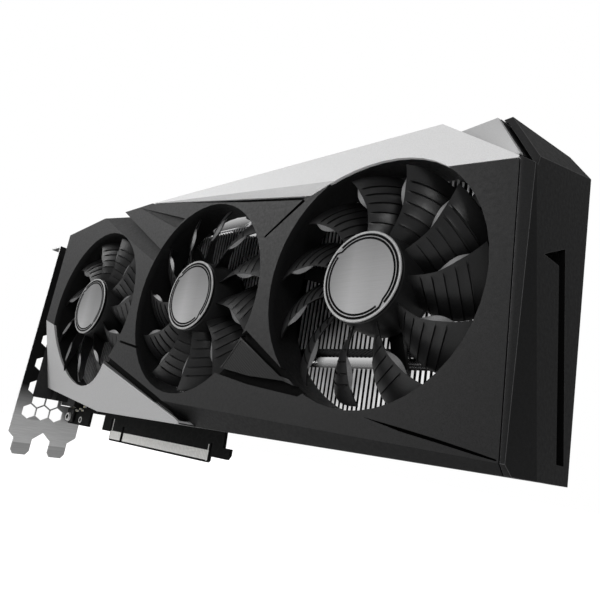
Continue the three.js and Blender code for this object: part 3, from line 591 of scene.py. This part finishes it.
GROOVE_R = (18.4, 21.9, 25.3, 28.6, 31.6)
def blade_mesh(f, k):
    nc = 16
    verts, faces = [], []
    rows = [13.8, 15.2, 16.6]
    for rs in GROOVE_R:
        rows += [rs - 1.2, rs - 0.48, rs - 0.38, rs + 0.06, rs + 0.16, rs + 0.7]
    rows += [34.6, 35.6, BLADE_R]
    nr = len(rows)
    for side in (0, 1):
        for i, r in enumerate(rows):
            for j in range(nc):
                u = j / (nc - 1)
                # trailing corner of the tip is cut back, leading corner rounded
                rr = r
                tipf = (r - 13.8) / (BLADE_R - 13.8)
                rr = r - 1.6 * max(0, tipf - 0.75) / 0.25 * (u ** 3) + (1.2 * (u - 0.3) * min(1, max(0, (r - 15) / 4)) * min(1, max(0, (35 - r) / 4)))
                p = blade_point(f, k, rr, u)
                # thickness: thin at the edges
                t = 0.28 + 0.42 * math.sin(math.pi * min(1, max(0, u * 0.96 + 0.02)))
                # stepped ribs across the blade, along the chord, on the front
                h = 0.0
                if side == 0 and 0.08 < u < 0.95:
                    for rs in GROOVE_R:
                        if rs - 0.39 < r < rs + 0.07: h = -0.5
                        elif rs + 0.07 < r < rs + 0.65: h = 0.2
                y = p.y + (-(t + h) if side == 0 else t)
                verts.append((p.x, y, p.z))
    idx = lambda s, i, j: (s * nr + i) * nc + j
    for i in range(nr - 1):
        for j in range(nc - 1):
            faces.append((idx(0, i, j), idx(0, i, j + 1), idx(0, i + 1, j + 1), idx(0, i + 1, j)))
            faces.append((idx(1, i, j), idx(1, i + 1, j), idx(1, i + 1, j + 1), idx(1, i, j + 1)))
        faces.append((idx(0, i, 0), idx(0, i + 1, 0), idx(1, i + 1, 0), idx(1, i, 0)))
        faces.append((idx(0, i, nc - 1), idx(1, i, nc - 1), idx(1, i + 1, nc - 1), idx(0, i + 1, nc - 1)))
    for j in range(nc - 1):
        faces.append((idx(0, 0, j), idx(1, 0, j), idx(1, 0, j + 1), idx(0, 0, j + 1)))
        faces.append((idx(0, nr - 1, j), idx(0, nr - 1, j + 1), idx(1, nr - 1, j + 1), idx(1, nr - 1, j)))
    return verts, faces

def splitter_mesh(f, k):
    """The three-sided fin on the leading edge that parts the air stream."""
    verts, faces = [], []
    n = 14
    r0, r1 = 23.2, 32.6
    for i in range(n):
        r = r0 + (r1 - r0) * i / (n - 1)
        s = i / (n - 1)
        bulge = math.sin(math.pi * s ** 0.8)
        base = blade_point(f, k, r, 0.0)
        side = (blade_point(f, k, r, -0.125 * bulge) - base)
        a = base + Vector((0, -0.35, 0))
        b = base + side + Vector((0, 0.9 * bulge + 0.05, 0))
        c = base + Vector((0, 0.45, 0))
        verts += [tuple(a), tuple(b), tuple(c)]
    for i in range(n - 1):
        for q in range(3):
            w = (q + 1) % 3
            faces.append((3 * i + q, 3 * i + w, 3 * (i + 1) + w, 3 * (i + 1) + q))
    faces.append((0, 2, 1)); faces.append((3 * n - 3, 3 * n - 2, 3 * n - 1))
    return verts, faces

def lathe_y(profile, cx, n=96):
    """Revolved profile [(r, y)] round the fan axis, closed onto itself."""
    verts, faces = [], []
    m = len(profile)
    for i in range(n):
        t = 2 * math.pi * i / n
        for r, y in profile:
            verts.append((cx + r * math.cos(t), y, FAN_Z + r * math.sin(t)))
    for i in range(n):
        j = (i + 1) % n
        for a in range(m):
            b = (a + 1) % m
            faces.append((i * m + a, i * m + b, j * m + b, j * m + a))
    return verts, faces

for f in range(3):
    body = "fan_" + SIDE[f]
    cx = FAN_X[f]
    allv, allf = [], []
    for k in range(11):
        v, fa = blade_mesh(f, k)
        o0 = len(allv); allv += v; allf += [tuple(i + o0 for i in q) for q in fa]
    o = outward(make("blades_" + SIDE[f], allv, allf, MAT["fan_black"], None, True))
    hub_prof = [(2.3, -33.4), (2.3, -35.0), (13.75, -35.0), (13.9, -34.9), (14.1, -34.2), (14.5, -31.5), (15.0, -28.5), (15.05, -26.9), (15.05, -22.6), (14.8, -22.4), (13.1, -22.4), (13.0, -22.6), (13.0, -33.2)]
    v, fa = lathe_y(hub_prof, cx)
    hub = outward(make("hub_" + SIDE[f], v, fa, MAT["fan_black"], None, True))
    smooth_by_angle(hub, 35)
    smooth_by_angle(o, 50)
    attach(o, body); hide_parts("rotor_" + SIDE[f])
    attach(hub, body)
    allv, allf = [], []
    for k in range(11):
        v, fa = splitter_mesh(f, k)
        o0 = len(allv); allv += v; allf += [tuple(i + o0 for i in q) for q in fa]
    s = outward(make("splitters_" + SIDE[f], allv, allf, SPLITTER_PAINTED_HIGHLIGHT, None, True))
    smooth_by_angle(s, 40)
    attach(s, body)
    # disc: satin rim, face let in a little, two dark rings that cross over in two places
    prof = [(0.01, -35.2), (0.01, -36.30), (11.4, -36.30), (11.5, -36.34), (13.3, -36.34), (13.6, -36.37), (13.85, -36.25), (13.88, -36.1), (13.4, -35.7), (13.3, -35.2)]
    v, fa = lathe_y(prof, cx, 128)
    d = outward(make("disc_" + SIDE[f], v, fa, disc_mat(cx), None, True))
    smooth_by_angle(d, 25)
    d.data.materials.append(RING_DARK); d.data.materials.append(DISC_RIM)
    for p_ in d.data.polygons:
        rad = math.hypot(p_.center.x / MM - cx, p_.center.z / MM - FAN_Z)
        if p_.center.y / MM > -36.12: p_.material_index = 1
        elif rad > 13.0: p_.material_index = 2
    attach(d, body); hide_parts("emblem_" + SIDE[f])
    hand_rings = []
    def arc(r0_, r1_, a0, a1, ra=None, rb=None):
        """Ring piece from angle a0 to a1; ra, rb are its radii at the far end."""
        n_ = max(2, int(abs(a1 - a0) / 3))
        vv, ff = [], []
        for i in range(n_ + 1):
            s_ = i / n_
            t = math.radians(a0 + (a1 - a0) * s_)
            q0 = r0_ + ((ra if ra is not None else r0_) - r0_) * s_
            q1 = r1_ + ((rb if rb is not None else r1_) - r1_) * s_
            for r_ in (q0, q1):
                vv.append((cx + r_ * math.cos(t), -36.375, FAN_Z + r_ * math.sin(t)))
                vv.append((cx + r_ * math.cos(t), -36.25, FAN_Z + r_ * math.sin(t)))
        for i in range(n_):
            a, b = 4 * i, 4 * (i + 1)
            ff += [(a, a + 2, b + 2, b), (a + 1, b + 1, b + 3, a + 3), (a, b, b + 1, a + 1), (a + 2, a + 3, b + 3, b + 2)]
        ff += [(0, 1, 3, 2), (4 * n_, 4 * n_ + 2, 4 * n_ + 3, 4 * n_ + 1)]
        hand_rings.append((vv, ff))
    # outer ring and inner ring, each in two halves between the crossings at 138 and -45 degrees
    arc(12.3, 13.05, -42, 131)
    arc(11.35, 12.0, -40, 135)
    arc(12.3, 13.05, 141.5, 309)
    arc(11.35, 12.0, 144.5, 306)
    arc(11.35, 12.0, 135, 141.5, 12.3, 13.05)
    arc(12.3, 13.05, 309, 320, 11.35, 12.0)
    v, fa = [], []
    for vv, ff in hand_rings:
        o0 = len(v); v += vv; fa += [tuple(i + o0 for i in q) for q in ff]
    rg = outward(make("disc_rings_" + SIDE[f], v, fa, RING_DARK, None))
    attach(rg, body)

# ------------------------------------------------------------------ cooler fins
def box_vf(x0, x1, y0, y1, z0, z1):
    v = [(x0, y0, z0), (x1, y0, z0), (x1, y1, z0), (x0, y1, z0), (x0, y0, z1), (x1, y0, z1), (x1, y1, z1), (x0, y1, z1)]
    f = [(0, 3, 2, 1), (4, 5, 6, 7), (0, 1, 5, 4), (1, 2, 6, 5), (2, 3, 7, 6), (3, 0, 4, 7)]
    return v, f

def joined(parts):
    V, F = [], []
    for v, f in parts:
        o0 = len(V); V += v; F += [tuple(i + o0 for i in q) for q in f]
    return V, F

def fins(name, node, x0, x1, y0, y1, z0, z1, cx, painted_glow, pitch=1.75, thick=0.3, notch=()):
    """Thin upright fins with a folded front flange; notch lists (xa, xb, za, zb, y) where a pipe shows through."""
    plates, fronts = [], []
    x = x0
    while x + thick <= x1:
        cuts = [(za, zb, y) for xa, xb, za, zb, y in notch if xa <= x <= xb]
        zs = sorted({z0, z1} | {c for za, zb, y in cuts for c in (max(z0, za), min(z1, zb))})
        for a, b in zip(zs, zs[1:]):
            if b - a < 0.01: continue
            yy = y0
            for za, zb, y in cuts:
                if za - 0.01 <= a and b <= zb + 0.01: yy = y
            if yy >= y1: continue
            plates.append(box_vf(x, x + thick, yy + 0.4, y1, a, b))
            fronts.append(box_vf(x, min(x + 0.6, x1), yy, yy + 0.4, a, b))
        x += pitch
    v, f = joined(plates)
    o = make(name, v, f, MAT["fin_aluminium"], "card")
    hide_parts(node)
    v, f = joined(fronts)
    make(name + "_flanges", v, f, fin_front_painted_glow_mat(name + "_flange", cx, painted_glow), "card")
    return o

fins("fins_left", "fin_stack_left", -68, -20, -18.2, -6.2, 24, 103, -26.6, 0.02, notch=[(-64, -20, 89, 95.5, -11.2)])
fins("fins_middle", "fin_stack_middle", -17, 92, -18.2, -6.2, 24, 106.6, 56.46, 0.06,
     notch=[(72, 96.5, 96.5, 107, 0), (26, 56.5, 96.6, 106.6, -10.6), (56.5, 67, 92.5, 101.6, -6.9)])
fins("fins_tail", "fin_stack_tail", 101, 172, -18.2, 0.6, 24, 106.6, 139.5, 0.8, notch=[(101, 172, 38.6, 45.0, -5.7), (101, 172, 97.5, 103.6, -5.7)])

# pipes: smooth skins round the same centre lines
def pipe_painted_glow_mat(name, xa, xb, zmin, zmax, painted_glow):
    """Nickel pipe; the stretch between xa and xb gets a painted glow (emission), stronger along its upper side."""
    m, nt, p = new_mat(name)
    g = noise(nt, coords(nt, (0.15, 1, 1)), 900, 3.0, 0.6)
    link(nt, ramp(nt, g, [(0.3, (0.72, 0.72, 0.73)), (0.7, (0.88, 0.88, 0.89))]), p.inputs["Base Color"])
    p.inputs["Metallic"].default_value = 0.9
    p.inputs["Roughness"].default_value = 0.22
    tc = nt.nodes.new("ShaderNodeTexCoord")
    sx = nt.nodes.new("ShaderNodeSeparateXYZ"); link(nt, tc.outputs["Object"], sx.inputs[0])
    a = maprange(nt, sx.outputs["X"], 0.0, 1.0, xa * MM, (xa + 4) * MM)
    b = maprange(nt, sx.outputs["X"], 1.0, 0.0, (xb - 6) * MM, xb * MM)
    c = maprange(nt, sx.outputs["Z"], 0.06, painted_glow, zmin * MM, zmax * MM)
    k0 = nt.nodes.new("ShaderNodeMath"); k0.operation = "MULTIPLY"; link(nt, a, k0.inputs[0]); link(nt, b, k0.inputs[1])
    k1 = nt.nodes.new("ShaderNodeMath"); k1.operation = "MULTIPLY"; link(nt, k0.outputs[0], k1.inputs[0]); link(nt, c, k1.inputs[1])
    p.inputs["Emission Color"].default_value = (1, 1, 1, 1)
    link(nt, k1.outputs[0], p.inputs["Emission Strength"])
    bump(nt, p, g, 0.05, 0.00005)
    return m

def tube(name, node, path, y, r, mat):
    pts = [Vector((x, y, z)) for x, z in path]
    # round the corners
    fine_pts = [pts[0]]
    for a, b, c in zip(pts, pts[1:], pts[2:]):
        d0 = min(5.0, (b - a).length * 0.45); d1 = min(5.0, (c - b).length * 0.45)
        p0 = b + (a - b).normalized() * d0; p1 = b + (c - b).normalized() * d1
        for i in range(7):
            t = i / 6
            fine_pts.append(p0 * (1 - t) ** 2 + b * 2 * t * (1 - t) + p1 * t * t)
    fine_pts.append(pts[-1])
    verts, faces = [], []
    n = 24
    for i, p in enumerate(fine_pts):
        a = fine_pts[max(0, i - 1)]; b = fine_pts[min(len(fine_pts) - 1, i + 1)]
        t = (b - a).normalized()
        nrm = Vector((-t.z, 0, t.x))
        for k in range(n):
            w = 2 * math.pi * k / n
            q = p + nrm * (r * math.cos(w)) + Vector((0, 1, 0)) * (r * math.sin(w))
            verts.append(tuple(q))
    m = len(fine_pts)
    for i in range(m - 1):
        for k in range(n):
            k2 = (k + 1) % n
            faces.append((i * n + k, i * n + k2, (i + 1) * n + k2, (i + 1) * n + k))
    faces.append(tuple(range(n))); faces.append(tuple(range((m - 1) * n, m * n))[::-1])
    o = outward(make(name, verts, faces, mat, "card", True))
    smooth_by_angle(o, 40)
    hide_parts(node)
tube("pipe_top", "heatpipe_1", [(-62, 92), (-52, 92), (-30, 77.5), (-14, 77.5), (29, 77.5), (42, 86), (50, 98.5), (60, 98.5), (70, 90), (97, 90), (108, 100.5), (168, 100.5)], -8.4, 2.6, pipe_painted_glow_mat("nickel_top", 30, 66, 88, 101, 0.7))
def flat_run(name, x0, x1, z0, z1, y0, y1, painted_glow):
    """A flattened stretch of pipe lying along x, with rounded sides and ends."""
    verts, faces = [], []
    n, m = 28, 25
    for i in range(m):
        s_ = i / (m - 1)
        x = x0 + (x1 - x0) * s_
        e = min(s_, 1 - s_) * (x1 - x0)
        k_ = math.sqrt(max(0.03, 1 - (1 - min(1, e / 2.0)) ** 2))
        for j in range(n):
            w = 2 * math.pi * j / n
            c_, q_ = math.cos(w), math.sin(w)
            cy_ = (y0 + y1) / 2 + (y1 - y0) / 2 * math.copysign(abs(q_) ** 0.7, q_) * k_
            cz_ = (z0 + z1) / 2 + (z1 - z0) / 2 * math.copysign(abs(c_) ** 0.6, c_) * k_
            verts.append((x, cy_, cz_))
    for i in range(m - 1):
        for j in range(n):
            j2 = (j + 1) % n
            faces.append((i * n + j, i * n + j2, (i + 1) * n + j2, (i + 1) * n + j))
    faces.append(tuple(range(n))); faces.append(tuple(range((m - 1) * n, m * n))[::-1])
    o = outward(make(name, verts, faces, pipe_painted_glow_mat(name + "_nickel", x0 - 4, x1 + 6, z0, z1, painted_glow), "card", True))
    smooth_by_angle(o, 50)
flat_run("pipe_flat_upper", 28.0, 54.5, 101.4, 106.5, -13.0, -10.9, 0.55)
flat_run("pipe_flat_lower", 26.5, 44.0, 97.2, 100.4, -13.0, -10.9, 0.75)
tube("pipe_low", "heatpipe_2", [(-62, 34), (-52, 34), (-30, 48), (-14, 48), (29, 48), (44, 44.5), (56, 41.5), (168, 41.5)], -8.4, 2.6, pipe_painted_glow_mat("nickel_low", 104, 136, 40.2, 43.8, 0.6))
tube("pipe_mid", "heatpipe_3", [(-66, 62.5), (168, 62.5)], -8.4, 2.6, MAT["nickel_pipe"])

# ------------------------------------------------------------------ other carried nodes get soft edges through their own copies
for nd, w, ang in (("io_bracket", 0.12, 30), ("backplate", 0.3, 30), ("pcb", 0.08, 30), ("power_connector", 0.25, 30)):
    o = copy_node(nd, nd + "_visual")
    bevel(o, w, 2, ang)
    finish_piece(o, MAT[slot_of[nd]], "card", slot_of[nd], nd)
    if nd == "io_bracket":
        # painted highlight: the sheared front edge of the sheet is painted bright silver
        o.data.materials.append(MAT["silver_edge_painted_highlight"])
        for p_ in o.data.polygons:
            if p_.normal.y < -0.6 and p_.center.y / MM < -31.2 and p_.center.z / MM > 2: p_.material_index = 1

# ------------------------------------------------------------------ small board parts near the bracket end, bare slit edges, plated hole
CREAM = flat_dark("part_cream", (0.62, 0.55, 0.30), 0.5)
CAPS = flat_dark("part_end_caps", (0.75, 0.75, 0.74), 0.35)
FR4 = flat_dark("board_cut_edge", (0.80, 0.80, 0.78), 0.6)
rng = random.Random(11)
cream, caps = [], []
for i, (x, z) in enumerate([(-91.0, 15.2), (-88.2, 14.1), (-85.6, 15.6), (-82.9, 14.6), (-80.3, 13.4), (-89.6, 12.6), (-86.4, 12.3), (-83.6, 12.0), (-78.0, 12.6), (-75.6, 14.8), (-84.8, 17.6), (-81.8, 17.0)]):
    w = 1.5 + 0.7 * rng.random(); h = 0.8 + 0.4 * rng.random(); t = 0.6 + 0.6 * rng.random()
    y1_ = -0.8
    cream.append(box_vf(x - w / 2 + 0.3, x + w / 2 - 0.3, y1_ - t, y1_, z - h / 2, z + h / 2))
    for sgn in (-1, 1):
        xa = x + sgn * (w / 2 - 0.3); xb = x + sgn * w / 2
        caps.append(box_vf(min(xa, xb), max(xa, xb), y1_ - t - 0.03, y1_, z - h / 2 - 0.03, z + h / 2 + 0.03))
v, f = joined(cream); make("board_parts", v, f, CREAM, "card")
v, f = joined(caps); make("board_part_caps", v, f, CAPS, "card")
slits = [box_vf(-41.1, -40.6, -0.84, 0.6, 5.2, 11.0), box_vf(41.0, 41.5, -0.84, 0.6, 0.5, 7.5)]
v, f = joined(slits); make("board_slit_edges", v, f, FR4, "card")

def ring_y(name, x, z, r_in, r_out, y0, y1, mat):
    verts, faces = [], []
    n = 40
    prof = [(r_in, y1), (r_in, y0 + 0.1), (r_in + 0.12, y0), (r_out - 0.12, y0), (r_out, y0 + 0.1), (r_out, y1)]
    m = len(prof)
    for i in range(n):
        t = 2 * math.pi * i / n
        for r, y in prof: verts.append((x + r * math.cos(t), y, z + r * math.sin(t)))
    for i in range(n):
        j = (i + 1) % n
        for a in range(m):
            b = (a + 1) % m
            faces.append((i * m + a, i * m + b, j * m + b, j * m + a))
    return outward(make(name, verts, faces, mat, "card", True))
ring_y("plated_hole", -78.7, 7.4, 1.15, 1.75, -0.95, -0.7, CAPS)
def lathe_at(profile, x, z, n=48):
    """Closed body turned round an axis along y; the profile starts and ends near the axis."""
    verts, faces = [], []
    m = len(profile)
    for i in range(n):
        t = 2 * math.pi * i / n
        for r, y in profile: verts.append((x + r * math.cos(t), y, z + r * math.sin(t)))
    for i in range(n):
        j = (i + 1) % n
        for a in range(m):
            b = (a + 1) % m
            faces.append((i * m + a, i * m + b, j * m + b, j * m + a))
    return verts, faces
# painted shade: the centre of each screw head, its socket, is painted near-black
SOCKET_PAINTED_SHADE = flat_dark("screw_recess_painted_shade", (0.02, 0.02, 0.02), 0.6)
for i, z in ((1, 8.0), (2, 97.5)):
    v, f = lathe_at([(0.01, -2.5), (0.01, -2.9), (1.2, -2.95), (1.35, -3.7), (1.6, -3.8), (2.1, -3.75), (2.35, -3.4), (2.4, -2.5)], -89.6, z)
    o = outward(make("bracket_screw_%d_visual" % i, v, f, MAT["screw_steel"], "card", True))
    o.data.materials.append(SOCKET_PAINTED_SHADE); o.data.materials.append(CAPS)
    for p_ in o.data.polygons:
        r_ = math.hypot(p_.center.x / MM + 89.6, p_.center.z / MM - z)
        p_.material_index = 1 if r_ < 1.3 else 2
    smooth_by_angle(o, 40)
    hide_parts("bracket_screw_%d" % i)

# ------------------------------------------------------------------ stage
def stage_plane(name, size, z, col):
    me = bpy.data.meshes.new(name)
    s = size
    me.from_pydata([(-s, -s, z), (s, -s, z), (s, s, z), (-s, s, z)], [], [(0, 1, 2, 3)])
    o = bpy.data.objects.new(name, me)
    bpy.context.scene.collection.objects.link(o)
    m, nt, p = new_mat(name)
    g = noise(nt, coords(nt), 3, 2.0, 0.5)
    link(nt, ramp(nt, g, [(0.3, tuple(c * 0.99 for c in col)), (0.7, col)]), p.inputs["Base Color"])
    p.inputs["Roughness"].default_value = 0.9
    p.inputs["Specular IOR Level"].default_value = 0.1
    p.inputs["Emission Color"].default_value = (1, 1, 1, 1)
    lpf = nt.nodes.new("ShaderNodeLightPath")
    link(nt, maprange(nt, lpf.outputs["Is Camera Ray"], 0.1, 1.0), p.inputs["Emission Strength"])
    me.materials.append(m)
    return o
floor = stage_plane("floor", 12.0, -0.30, (0.93, 0.93, 0.93))

world = bpy.data.worlds.new("world"); sc.world = world
world.use_nodes = True
wn = world.node_tree
bg = wn.nodes["Background"]
lp = wn.nodes.new("ShaderNodeLightPath")
tcw = wn.nodes.new("ShaderNodeTexCoord")
sxw = wn.nodes.new("ShaderNodeSeparateXYZ"); wn.links.new(tcw.outputs["Generated"], sxw.inputs[0])
# dim soft room: brighter towards the left and above, dark behind the viewer's right
mx = wn.nodes.new("ShaderNodeMath"); mx.operation = "MULTIPLY_ADD"; mx.inputs[1].default_value = -0.16; mx.inputs[2].default_value = 0.26
wn.links.new(sxw.outputs["X"], mx.inputs[0])
mz = wn.nodes.new("ShaderNodeMath"); mz.operation = "MULTIPLY_ADD"; mz.inputs[1].default_value = 0.10
wn.links.new(sxw.outputs["Z"], mz.inputs[0]); wn.links.new(mx.outputs[0], mz.inputs[2])
mcam = wn.nodes.new("ShaderNodeMix"); mcam.data_type = "FLOAT"
wn.links.new(lp.outputs["Is Camera Ray"], mcam.inputs[0])
wn.links.new(mz.outputs[0], mcam.inputs[2]); mcam.inputs[3].default_value = 1.0
bg.inputs["Color"].default_value = (1, 1, 1, 1)
wn.links.new(mcam.outputs[0], bg.inputs["Strength"])

def area(name, loc, target, size, power, size_y=None):
    l = bpy.data.lights.new(name, "AREA")
    l.shape = "RECTANGLE"; l.size = size; l.size_y = size_y or size
    l.energy = power
    o = bpy.data.objects.new(name, l)
    bpy.context.scene.collection.objects.link(o)
    o.location = loc
    d = Vector(target) - Vector(loc)
    o.rotation_euler = d.to_track_quat("-Z", "Y").to_euler()
    o.visible_camera = False
    return o
area("key", (-0.45, -0.62, 0.46), (0.02, 0, 0.06), 0.5, 4.3)
area("fill", (0.62, -0.42, 0.34), (0.11, 0, 0.06), 0.22, 1.5)
area("low", (-0.35, -0.6, -0.22), (0.0, 0, 0.05), 0.3, 0.8)
